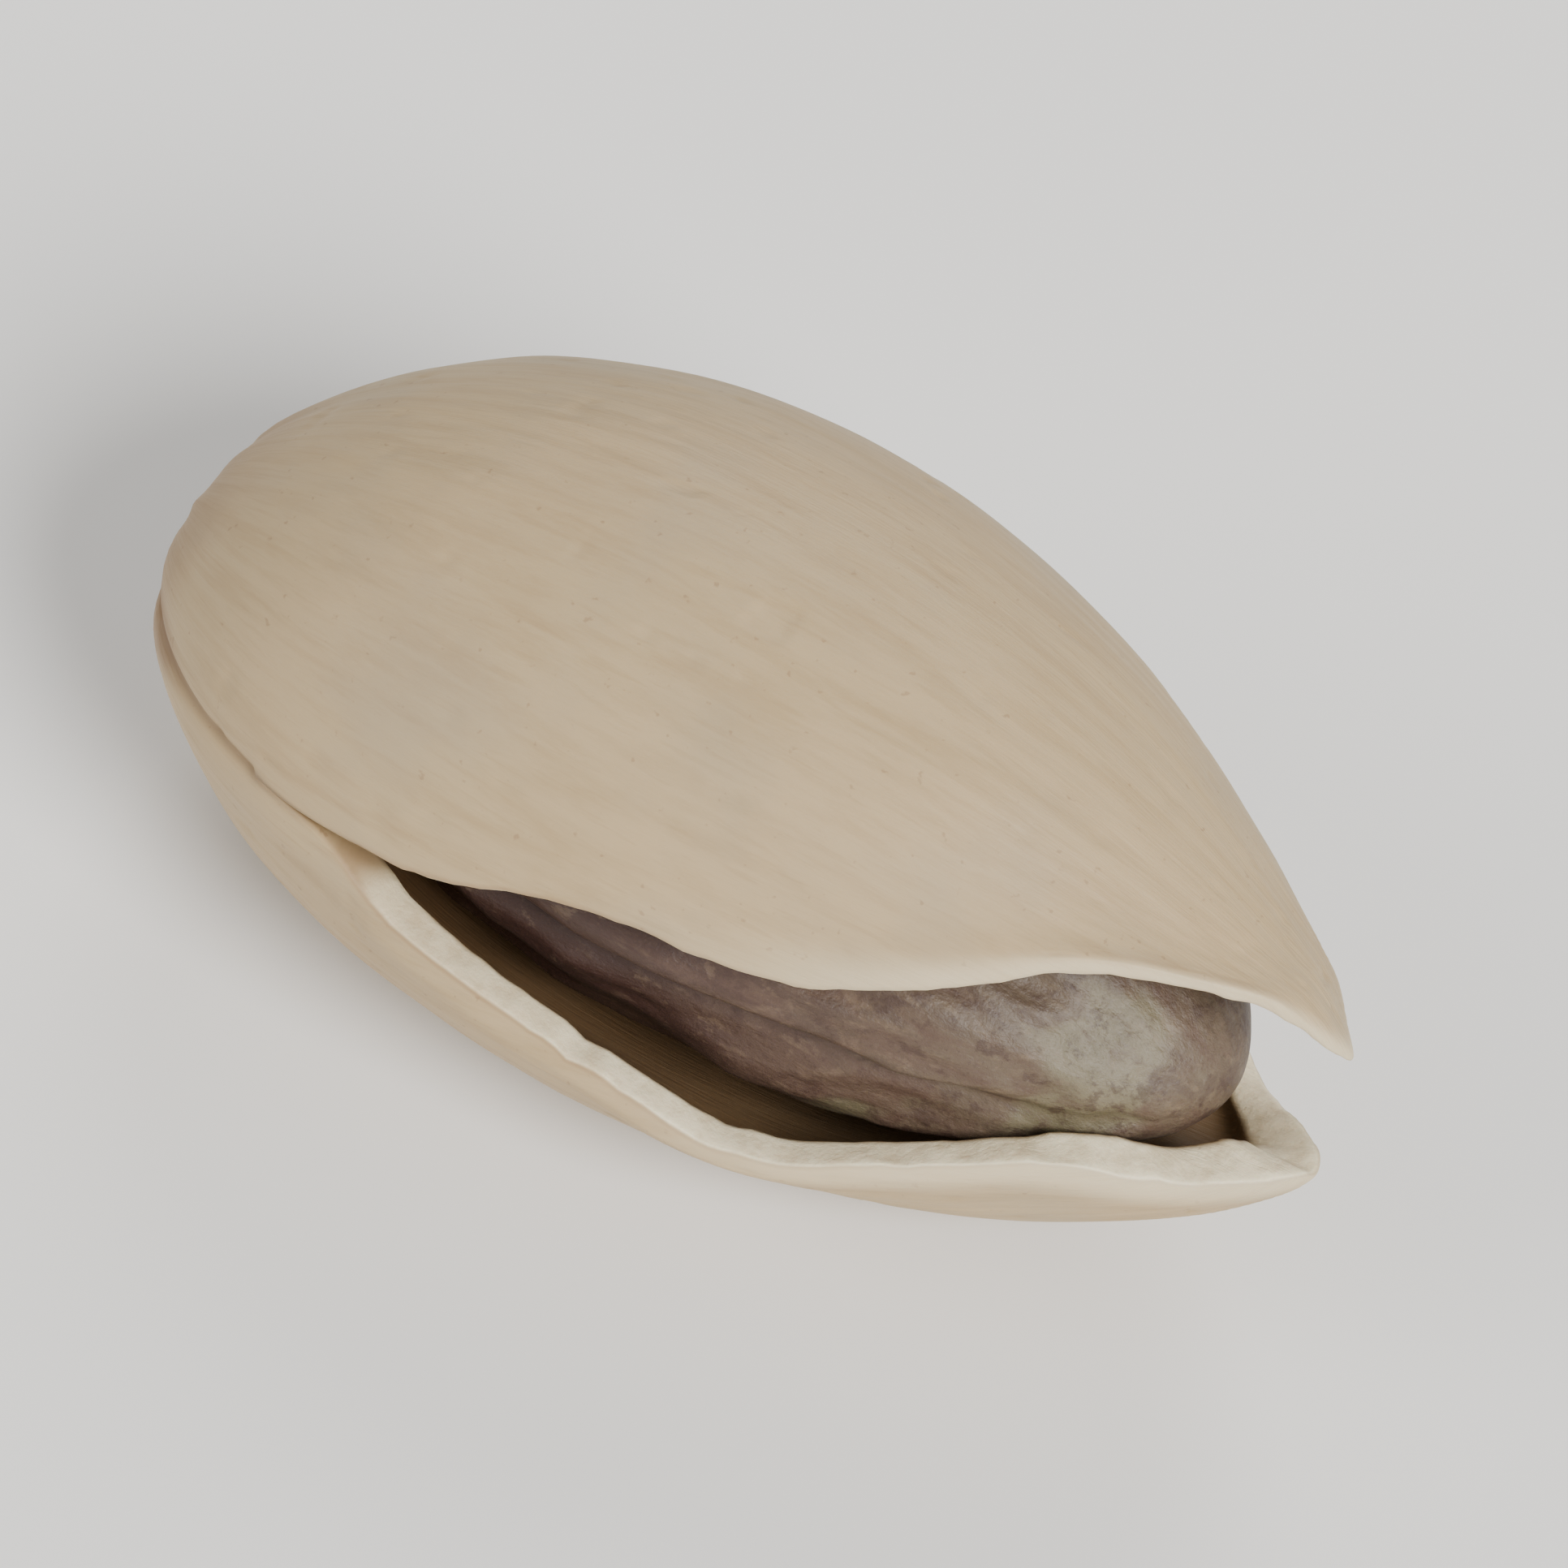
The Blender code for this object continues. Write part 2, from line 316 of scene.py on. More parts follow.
def lip_roughness(half, x, y, z):
    """The small unevenness of a broken-open lip: layered noise along it, with a few notches where other
    noise passes a limit. It dies out within a millimetre of the lip. The upper lip reads its noise a long
    way off, so that the two lips differ."""
    shift = 40.0 * MM * (half == "upper")
    along_lip = np.stack((x * SHELL_LENGTH / 2 + shift, y * SHELL_WIDTH / 2, 0.0 * x), axis=-1)
    uneven = UNEVEN_DEPTH * layered(along_lip, UNEVEN_SIZE, seed=11, layers=4)
    notches = NOTCH_DEPTH * smooth((lumps(along_lip, UNEVEN_SIZE, seed=18) - 0.45) / 0.5)
    return (uneven - notches) * bump(z, 0.0, UNEVEN_REACH)


def end_relief(x, from_axis):
    """How far the stem scar, a dimple with a rim, and the tip's small beak push the outside along the
    length: bell curves of the distance from the axis."""
    rim = SCAR_RIM * bump(from_axis, 2.0 * SCAR_SIZE, SCAR_SIZE)
    scar = SCAR_DEPTH * bump(from_axis, 0.0, SCAR_SIZE) - rim
    return np.where(x > 0, TIP_BEAK * bump(from_axis, 0.0, BEAK_SIZE), scar)


def lengthwise_ridges(x, around, from_axis):
    """Ridges along the shell, from noise stretched along its length, dying out at both ends."""
    stretched = on_tube(x * RIDGE_STRETCH, around)
    ridges = RIDGE_DEPTH * ridged(stretched, RIDGE_SIZE, seed=3)
    fine_ridges = FINE_RIDGE_DEPTH * lumps(stretched, FINE_RIDGE_SIZE, seed=4)
    return (ridges + fine_ridges) * smooth(from_axis / 0.5)


def scar_fibres(x, around, from_axis):
    """Fibres that run out from the stem scar: noise of the angle round it, in a ring."""
    rays = np.stack((np.cos(around), np.sin(around), 0.0 * x), axis=-1) * MM
    in_ring = bump(from_axis, 0.30, 0.13) * (x < 0)
    return FIBRE_DEPTH * lumps(rays, FIBRE_SIZE, seed=6) * in_ring


def outside_relief(x, y, z, joined):
    """The fine relief of the shell's outside, along its normal, for directions of the unit sphere: broad
    and small lumps, lengthwise ridges, a raised margin on both sides of the suture, a groove along its
    joined stretch, small pits where noise passes a limit, and the fibres round the scar."""
    place = on_shell(x, y, z)
    around = np.arctan2(z, y)
    from_axis = np.hypot(y, z)
    height = np.abs(place[..., 2])
    broad = BROAD_DEPTH * lumps(place, BROAD_SIZE, seed=1) + SMALL_DEPTH * lumps(place, SMALL_SIZE, seed=2)
    lengthwise = lengthwise_ridges(x, around, from_axis)
    margin = MARGIN_HEIGHT * bump(height, MARGIN_PLACE, MARGIN_WIDTH) * smooth(from_axis / 0.4)
    groove = SUTURE_DEPTH * bump(height, 0.0, SUTURE_WIDTH) * joined
    pits = PIT_DEPTH * smooth((lumps(place, PIT_SIZE, seed=5) - 0.62) / 0.25)
    return broad + lengthwise + margin - groove - pits + scar_fibres(x, around, from_axis)


def inside_relief(x, y, z):
    """The soft unevenness of the shell's inside, along its normal."""
    return INSIDE_DEPTH * lumps(on_shell(x, y, z), INSIDE_SIZE, seed=7)


def ellipsoid_normal(x, y, z):
    """The outward normal of the shell's ellipsoid in a direction of the unit sphere."""
    normal = np.stack((x / SHELL_LENGTH, y / SHELL_WIDTH, z / (UPPER_DEPTH + LOWER_DEPTH)), axis=-1)
    return normal / np.linalg.norm(normal, axis=-1, keepdims=True)


def closed_wall(x, y, z, half, inside):
    """The closed shell's plain outside or inside in directions of the unit sphere: an ellipsoid that
    narrows towards the tip, bent sideways along a parabola. The inside is smaller by the wall, which is
    thinner towards the suture and thicker at the ends."""
    wall = WALL if inside else 0.0
    wall_beside = WALL - (WALL - WALL_AT_LIP) * bump(z, 0.0, LIP_THINNING) if inside else 0.0
    end_wall = np.where(x < 0, WALL_AT_STEM, WALL_AT_TIP) if inside else 0.0
    belly = (UPPER_DEPTH if half == "upper" else LOWER_DEPTH) - wall
    points = np.stack((
        (SHELL_LENGTH / 2 - end_wall) * x,
        (SHELL_WIDTH / 2 - wall_beside) * y * fullness(x, POINT_IN_WIDTH),
        belly * z * fullness(x, POINT_IN_DEPTH),
    ), axis=-1)
    along = points[..., 0] / (SHELL_LENGTH / 2)
    points[..., 1] += AXIS_BEND * (BEND_MIDDLE - along * along)
    return points


def wall_points(angle, turn, half, inside, joined=0.0, relief=1.0):
    """The wall's outside or inside, at an angle from the belly's pole and a turn round it: the closed
    wall with its relief, moved off the suture's plane by the gap less the reach of the lip."""
    side = 1.0 if half == "upper" else -1.0
    angle, turn = np.broadcast_arrays(angle, turn)
    x, y, z = np.sin(angle) * np.cos(turn), np.sin(angle) * np.sin(turn), side * np.cos(angle)
    points = closed_wall(x, y, z, half, inside)
    along = points[..., 0] / (SHELL_LENGTH / 2)
    normal = ellipsoid_normal(x, y, z)
    if inside:
        points -= normal * inside_relief(x, y, z)[..., None]
    else:
        points[..., 0] += end_relief(x, np.hypot(y, z))
        points += normal * outside_relief(x, y, z, joined)[..., None] * relief
    opened = half_gap(along, y, z)
    wave_depth = WAVE_DEPTH_INSIDE if inside else WAVE_DEPTH
    reach = lip_reach(half, along, y, z, wave_depth) + lip_roughness(half, along, y, z)
    points[..., 2] += side * (opened - reach * smooth(opened / (FULL_WAVES_AT * TIP_GAP)))
    return points


def square_lip(outer, inner):
    """The lip's rows with square corners: on the outside to the suture's plane, straight across the wall,
    and back on the inside."""
    across = outer[-1] + (inner[0] - outer[-1]) * column(0.0, 1.0, LIP_ROWS // 2)[..., None]
    return np.concatenate((outer[:-1], across, inner[1:]))


def rounded_lip(outer, inner):
    """The lip's rows as a superellipse across the wall, which starts and ends where the square lip does
    and is as high as its face, with the broken face's grain."""
    angle = column(0.0, math.pi, LIP_ROWS)[..., None]
    power = 2.0 / LIP_SQUARENESS
    sideways = np.sign(np.cos(angle)) * np.abs(np.cos(angle)) ** power
    forwards = np.abs(np.sin(angle)) ** power
    middle = (outer[0] + inner[-1]) / 2
    edge = (outer[-1] + inner[0]) / 2
    rounded = middle + sideways * (outer[0] - inner[-1]) / 2 + forwards * (edge - middle)
    rounded[..., 2] += LIP_GRAIN_DEPTH * lumps(rounded, LIP_GRAIN_SIZE, seed=31) * forwards[..., 0]
    return rounded


def half_shell(half, turn, joined, relief):
    """One half of the shell as rows of points from the outside's belly over the lip to the inside's. The
    lip is rounded, and blends into the square one wherever the split is still too narrow for that."""
    lip_start = math.pi / 2 - LIP_STARTS
    outer = wall_points(column(0.0, lip_start, WALL_ROWS), turn, half, False, joined, relief)
    inner = wall_points(column(lip_start, 0.0, INSIDE_ROWS), turn, half, True)
    to_suture = column(lip_start, math.pi / 2, LIP_ROWS // 4)
    outer_corner = wall_points(to_suture, turn, half, False, joined, relief)
    inner_corner = wall_points(column(math.pi / 2, lip_start, LIP_ROWS // 4), turn, half, True)
    square = square_lip(outer_corner, inner_corner)
    rounded = rounded_lip(outer_corner, inner_corner)

    on_suture = (outer_corner[-1, :, 0] + inner_corner[0, :, 0]) / SHELL_LENGTH
    opened = half_gap(on_suture, np.sin(turn), 0.0 * turn)
    lip = square + (rounded - square) * smooth(opened / FULL_ROUNDING_AT)[:, None]
    return np.concatenate((outer[:-1], lip, inner[1:]))


def grid_faces(ids, kept=None):
    """The four-cornered faces of a grid of point numbers whose last column runs into its first, without
    those that aren't kept. Where two corners are one point, the face has three."""
    right = np.roll(ids, -1, axis=1)
    quads = np.stack((ids[:-1], ids[1:], right[1:], right[:-1]), axis=-1)
    quads = quads[kept] if kept is not None else quads.reshape(-1, 4)
    at_first = quads[:, 0] == quads[:, 3]
    at_last = quads[:, 1] == quads[:, 2]
    triangles = np.concatenate((quads[at_first][:, [0, 1, 2]], quads[at_last][:, [0, 1, 3]]))
    return triangles, quads[~(at_first | at_last)]


def build_mesh(name, points, faces, attributes):
    """A smooth-shaded mesh of all the points that the faces use, with its attributes: a number or a
    vector for each point."""
    used, packed = np.unique(np.concatenate([part.ravel() for part in faces]), return_inverse=True)
    cuts = np.cumsum([part.size for part in faces])[:-1]
    parts = [numbers.reshape(part.shape) for numbers, part in zip(np.split(packed, cuts), faces)]
    mesh = bpy.data.meshes.new(name)
    mesh.from_pydata(points[used], [], [face for part in parts for face in part.tolist()])
    for label, values in attributes.items():
        kept = values[used].astype(np.float32)
        vector = kept.ndim == 2
        layer = mesh.attributes.new(label, "FLOAT_VECTOR" if vector else "FLOAT", "POINT")
        layer.data.foreach_set("vector" if vector else "value", kept.ravel())
    mesh.shade_smooth()
    mesh.update()
    return mesh


def lay_down(points, box):
    """Turns points from the nut's own frame to how it lies, and moves them so that their box's middle
    and top are those of a box of the frame. Also gives the move."""
    laid = turned(points, REST_TURN)
    low, high = laid.min(axis=0), laid.max(axis=0)
    move = (np.array(box[0]) + np.array(box[1]) - low - high) / 2
    move[2] = box[1].z - high[2]
    return laid + move, move


def show(mesh, material, node):
    """Puts a mesh into the scene as a piece that stands for a CAD node and rides on the nut's body."""
    piece = bpy.data.objects.new(mesh.name, mesh)
    bpy.context.scene.collection.objects.link(piece)
    mesh.materials.append(material)
    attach(piece, "root")
    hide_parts(node)
    return piece


def shell_surface(relief):
    """The whole shell: both halves' rows of points, welded along the suture's joined stretch, where the
    faces across the lip are left out."""
    turn = full_turn(SHELL_COLUMNS)
    ends = np.where(np.sin(turn) < 0, WIDE_SIDE_END, NARROW_SIDE_END)
    joined = np.cos(turn) <= ends
    halves = np.stack([half_shell(half, turn, joined, relief) for half in ("upper", "lower")])
    ids = np.arange(halves[..., 0].size).reshape(halves.shape[:3])
    ids[:, 0] = ids[:, 0, :1]
    ids[:, -1] = ids[:, -1, :1]
    last_joined = joined & ~(np.roll(joined, 1) & np.roll(joined, -1))
    for row in range(OUTER_CORNER, INNER_CORNER + 1):
        welded = joined if row in (OUTER_CORNER, INNER_CORNER) else last_joined
        ids[1, row, welded] = ids[0, row, welded]
    row_number = np.arange(ids.shape[1] - 1)[:, None]
    across_lip = (row_number >= OUTER_CORNER) & (row_number < INNER_CORNER)
    kept = ~(across_lip & joined & np.roll(joined, -1))
    faces = [*grid_faces(ids[0], kept), *(part[:, ::-1] for part in grid_faces(ids[1], kept))]
    return halves.reshape(-1, 3), faces


def over_the_lip():
    """For each point of the shell, in the order of its rows: how far over the lip it is, from -1 on the
    outside's belly to 0 at the lip and 1 on the inside. Where the halves are joined there is no lip, and
    its rows are 0."""
    turn = full_turn(SHELL_COLUMNS)
    opened = half_gap(np.cos(turn), np.sin(turn), 0.0 * turn)
    split = smooth(opened / FULL_ROUNDING_AT)
    lip = np.linspace(0.0, 1.0, LIP_ROWS, endpoint=False)[:, None] * split
    outside = np.linspace(-1.0, 0.0, WALL_ROWS, endpoint=False)[:, None] + 0.0 * split
    inside = np.ones((INSIDE_ROWS + 1, SHELL_COLUMNS))
    return np.tile(np.concatenate((outside, lip, inside)), (2, 1)).reshape(-1)


def make_shell(settings):
    """The finished shell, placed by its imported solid, its foot flat on the floor. Gives its move."""
    points, faces = shell_surface(settings.relief)
    grain = on_tube(points[:, 0], np.arctan2(points[:, 2], points[:, 1])) / MM
    attributes = {"grain": grain, "over_lip": over_the_lip(), "nut_place": points / MM}
    laid, move = lay_down(points, SHELL_BOX)
    laid[:, 2] = np.maximum(laid[:, 2], 0.0)
    mesh = build_mesh("shell_finished", laid, faces, attributes)
    piece = show(mesh, ShellFinish(settings).material, "shell")
    return move


def kernel_skin(x, place):
    """How whole the kernel's skin is, from 0 to 1: it is worn where noise stretched along the kernel is
    under a limit that rises towards the tip and is low again on the tip itself."""
    worn = 0.75 * smooth((x - 0.30) / 0.4) * (1.0 - 0.8 * smooth((x - 0.82) / 0.15))
    patches = layered(place * np.array((0.6, 1.0, 1.0)), WORN_PATCH_SIZE, seed=23)
    return smooth((patches + 1.0 - worn) / 0.35)


def kernel_relief(x, z, around, place, settings):
    """How far the skin stands off the kernel's egg: sine wrinkles round it and noise stretched along it
    for the fine ones, less a groove along the seed leaves' joint, a bell curve across it."""
    ripple = sum(share * np.sin(count * around + twist * x + start)
                 for count, twist, start, share in WRINKLES)
    groove = settings.groove_depth * bump(z, 0.0, GROOVE_WIDTH) * (1.0 - x ** 8)
    stretched = place * np.array((0.30, 1.0, 1.0))
    fine = FINE_WRINKLE_DEPTH * ridged(stretched, FINE_WRINKLE_SIZE, seed=21)
    finest = FINEST_DEPTH * lumps(stretched, FINEST_SIZE, seed=22)
    return settings.wrinkle_depth * ripple * (1.0 - x * x) - groove + (fine + finest)


def kernel_surface(settings):
    """The kernel: an egg whose tip end's profile has a slightly higher power of its length than an
    ellipse, so it is fuller, with its relief. Also gives where its skin is whole."""
    along = column(0.0, math.pi, KERNEL_ROWS)
    around = full_turn(KERNEL_COLUMNS)
    x = np.cos(along) + 0.0 * around
    tip_profile = np.sqrt(1.0 - np.maximum(x, 0.0) ** KERNEL_TIP_FULLNESS)
    girth = np.where(x > 0, tip_profile, np.sin(along))
    y, z = girth * np.cos(around), girth * np.sin(around)
    place = np.stack((x * KERNEL_LENGTH, y * KERNEL_WIDTH, z * KERNEL_DEPTH), axis=-1) / 2
    skin = kernel_skin(x, place)
    depth = kernel_relief(x, z, around, place, settings) - SKIN_THICKNESS * (1.0 - skin)
    wide = (1.0 - KERNEL_TAPER * x) * (1.0 + depth / (KERNEL_DEPTH / 2))
    points = np.stack((
        KERNEL_LENGTH / 2 * x + KERNEL_TIP_LONGER * smooth(x),
        KERNEL_WIDTH / 2 * y * wide - KERNEL_BEND * x * x,
        KERNEL_DEPTH / 2 * z * wide,
    ), axis=-1)
    ids = np.arange(x.size).reshape(x.shape)
    ids[0], ids[-1] = ids[0, 0], ids[-1, 0]
    return points.reshape(-1, 3), grid_faces(ids), skin.reshape(-1)


def make_kernel(settings, move):
    """The finished kernel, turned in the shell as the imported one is."""
    points, faces, skin = kernel_surface(settings)
    laid = turned(turned(points, KERNEL_TURN) + KERNEL_PLACE, REST_TURN) + move
    attributes = {"skin": skin, "nut_place": points / MM}
    mesh = build_mesh("kernel_finished", laid, faces, attributes)
    piece = show(mesh, KernelFinish(settings).material, "kernel")


class Number:
    """A node's output that takes part in Python arithmetic: each operation adds its Math node."""

    def __init__(self, finish, socket):
        self.finish = finish
        self.socket = socket

    def _math(self, operation, first, second):
        return self.finish.node("ShaderNodeMath", {"operation": operation}, {0: first, 1: second})

    def __add__(self, other):
        return self._math("ADD", self, other)

    def __sub__(self, other):
        return self._math("SUBTRACT", self, other)

    def __rsub__(self, other):
        return self._math("SUBTRACT", other, self)

    def __mul__(self, other):
        return self._math("MULTIPLY", self, other)

    __radd__ = __add__
    __rmul__ = __mul__


class Finish:
    """A material and its node tree, with one method that adds any node."""

    def __init__(self, name):
        self.material = bpy.data.materials.new(name)
        self.material.use_nodes = True
        self.nodes = self.material.node_tree.nodes
        self.links = self.material.node_tree.links
        self.shader = self.nodes["Principled BSDF"]

    def feed(self, socket, value):
        if isinstance(value, Number):
            self.links.new(value.socket, socket)
        else:
            socket.default_value = value

    def node(self, kind, settings=(), sockets=(), output=0):
        """Adds a node: its settings first, then its sockets, by name or number, from values or links."""
        made = self.nodes.new(kind)
        for name, value in dict(settings).items():
            setattr(made, name, value)
        for socket, value in dict(sockets).items():
            self.feed(made.inputs[socket], value)
        return Number(self, made.outputs[output])

    def attribute(self, name, output="Vector"):
        return self.node("ShaderNodeAttribute", {"attribute_name": name}, output=output)

    def noise(self, vector, scale, detail=2.0, roughness=0.5, distortion=0.0):
        sockets = {"Vector": vector, "Scale": scale, "Detail": detail, "Roughness": roughness,
                   "Distortion": distortion}
        return self.node("ShaderNodeTexNoise", sockets=sockets, output="Fac")

    def shortened(self, vector, share):
        """A vector with its X made shorter, so that a pattern read there is drawn out lengthwise."""
        sockets = {0: vector, 1: (share, 1.0, 1.0)}
        return self.node("ShaderNodeVectorMath", {"operation": "MULTIPLY"}, sockets)

    def part(self, vector, axis):
        """One coordinate of a vector."""
        return self.node("ShaderNodeSeparateXYZ", sockets={0: vector}, output=axis)

    def between(self, value, low, high):
        """0 where a value is at low or under, 1 at high or over, with an S between."""
        settings = {"interpolation_type": "SMOOTHSTEP", "clamp": True}
        sockets = {"Value": value, "From Min": low, "From Max": high}
        return self.node("ShaderNodeMapRange", settings, sockets)

    def mix(self, share, first, second):
        """The first colour at share 0 and the second at share 1. The node's colours are its sockets 6 and
        7, and its mixed colour is output 2."""
        first, second = (c if isinstance(c, Number) else (*c, 1.0) for c in (first, second))
        sockets = {0: share, 6: first, 7: second}
        return self.node("ShaderNodeMix", {"data_type": "RGBA"}, sockets, output=2)

    def coat(self, colour, roughness, relief, depth):
        """Gives the surface its colour, its roughness and a relief too fine for the mesh, of a depth."""
        sockets = {"Height": relief, "Distance": depth, "Strength": 0.9}
        self.feed(self.shader.inputs["Base Color"], colour)
        self.feed(self.shader.inputs["Roughness"], roughness)
        self.feed(self.shader.inputs["Normal"], self.node("ShaderNodeBump", sockets=sockets))

    def let_light_in(self, weight, colour_depths, depth):
        """Lets some light into the surface, each of its colours as deep as its share of a depth."""
        self.shader.inputs["Subsurface Weight"].default_value = weight
        self.shader.inputs["Subsurface Radius"].default_value = colour_depths
        self.shader.inputs["Subsurface Scale"].default_value = depth


class ShellFinish(Finish):
    """Pale matt hard shell: ivory with faint lengthwise streaks, greyer blotches, brown stains at the stem
    and along the joined suture, pale lips with a painted highlight towards the tip and a painted lit band
    beside them, and a smoother inside painted dark brown as shade."""

    def __init__(self, colours):
        super().__init__("shell_finish")
        self.colours = colours
        self.read_noises()
        self.read_places()
        colour = self.with_inside_shade(self.with_lips_and_painted_light(self.with_stains(self.main_colour())))
        roughness = 0.50 + self.streaks * 0.16 - self.inside * 0.14
        relief = self.fine * 0.6 + self.threads * 0.5 + self.broken * self.on_lip * 1.6
        self.coat(colour, roughness, relief + self.specks * self.scar * 2.0, 0.03 * MM)
        self.let_light_in(0.12, (1.0, 0.65, 0.35), 0.5 * MM)

    def read_noises(self):
        """The noises that the colour and the relief share."""
        grain = self.attribute("grain")
        place = self.attribute("nut_place")
        lengthwise = self.shortened(grain, 0.16)
        self.streaks = self.noise(lengthwise, 2.6, detail=5.0, roughness=0.62, distortion=0.3)
        self.threads = self.noise(self.shortened(grain, 0.10), 7.0, detail=3.0, roughness=0.6)
        self.fine = self.noise(lengthwise, 9.0, detail=4.0, roughness=0.6)
        self.blotches = self.noise(place, 0.34, detail=3.0)
        self.specks = self.noise(place, 5.5)
        self.broken = self.noise(place, 2.2, detail=5.0, roughness=0.7)

    def read_places(self):
        """Where a point is on the nut, in its millimetres, and how far over the lip."""
        place = self.attribute("nut_place")
        self.over_lip = self.attribute("over_lip", "Fac")
        self.along = self.part(place, "X")
        self.across = self.part(place, "Y") - STEM_ASIDE / MM
        self.up = self.part(place, "Z")
        self.outside = 1.0 - self.between(self.over_lip, 0.15, 0.45)
        self.inside = self.between(self.over_lip, 0.6, 0.95)
        self.on_lip = self.between(self.over_lip, 0.12, 0.3) * (1.0 - self.inside)
        self.stem = 1.0 - self.between(self.along, -9.9, -7.2)
        from_scar = self.across * self.across + self.up * self.up + self.streaks * 1.8
        self.scar = (1.0 - self.between(from_scar, 1.1, 2.5)) * self.stem

    def main_colour(self):
        """The shell's own colour with its streaks, threads and blotches."""
        streaked = self.between(self.streaks, 0.38, 0.72) * 0.42
        threaded = self.between(self.threads, 0.55, 0.68) * 0.22
        blotched = self.between(self.blotches, 0.45, 0.75) * 0.40
        colour = self.mix(streaked, self.colours.colour, self.colours.streak_colour)
        colour = self.mix(threaded, colour, self.colours.streak_colour)
        return self.mix(blotched, colour, self.colours.blotch_colour)

    def with_stains(self, colour):
        """The colour with the stained stem end, scar and joined suture, specks, and the rind's dark line
        at the lip."""
        height = self.node("ShaderNodeMath", {"operation": "ABSOLUTE"}, {0: self.up})
        by_suture = (1.0 - self.between(height, 0.0, 0.55)) * self.outside
        groove = (1.0 - self.between(height, 0.02, 0.13)) * self.outside
        stained = self.between(self.stem * 0.7 + by_suture * 0.40 + self.blotches * 0.6, 0.55, 1.20)
        specks = self.between(self.specks, 0.68, 0.76) * 0.35 * self.outside
        rind = self.between(self.over_lip, 0.0, 0.10) * (1.0 - self.between(self.over_lip, 0.12, 0.25))
        colour = self.mix(stained * 0.6, colour, self.colours.stain_colour)
        colour = self.mix(self.scar * 0.7 + groove * 0.4, colour, self.colours.scar_colour)
        colour = self.mix(specks, colour, self.colours.stain_colour)
        return self.mix(rind * 0.35, colour, self.colours.stain_colour)

    def with_lips_and_painted_light(self, colour):
        """The colour with the pale lips and, fainter, a painted lit band on the outside beside them, which
        stands in for light falling there. Both are painted lighter towards the tip as a painted highlight,
        and are lighter on the wide side."""
        wide_side = 1.0 - self.between(self.across, -0.4, 1.2)
        # Painted highlight: the lips grow lighter towards the tip, where the light falls
        paleness_with_highlight = self.between(self.along, -7.0, 4.0) * 0.6 + wide_side * 0.2 + 0.2
        tipwards = self.between(self.along, -1.0, 6.0)
        # Painted highlight: a lit band on the outside beside the lip, stronger towards the tip
        margin = self.between(self.over_lip, -0.13, -0.01) * tipwards * self.outside
        bared_and_lit_band = self.on_lip * (self.between(self.broken, 0.30, 0.62) * 0.45 + 0.55) + margin * 0.45
        return self.mix(bared_and_lit_band * paleness_with_highlight, colour, self.colours.lip_and_lit_band_colour)

    def with_inside_shade(self, colour):
        """The colour with the inside's painted shade: a dark brown that stands in for the shade within the
        shell. It is darker still towards the stem end, partly a real stain and partly painted shade deep in
        the shell.
        """
        # Painted shade: the inside darkens towards the stem end, deep in the shell, partly as a real brown
        # stain
        unstained_and_unshaded = self.between(self.along + self.blotches * 6.0, -5.0, 6.0)
        inner = self.mix(unstained_and_unshaded, self.colours.stain_colour, self.colours.inside_shade_colour)
        return self.mix(self.inside * 0.9, colour, inner)


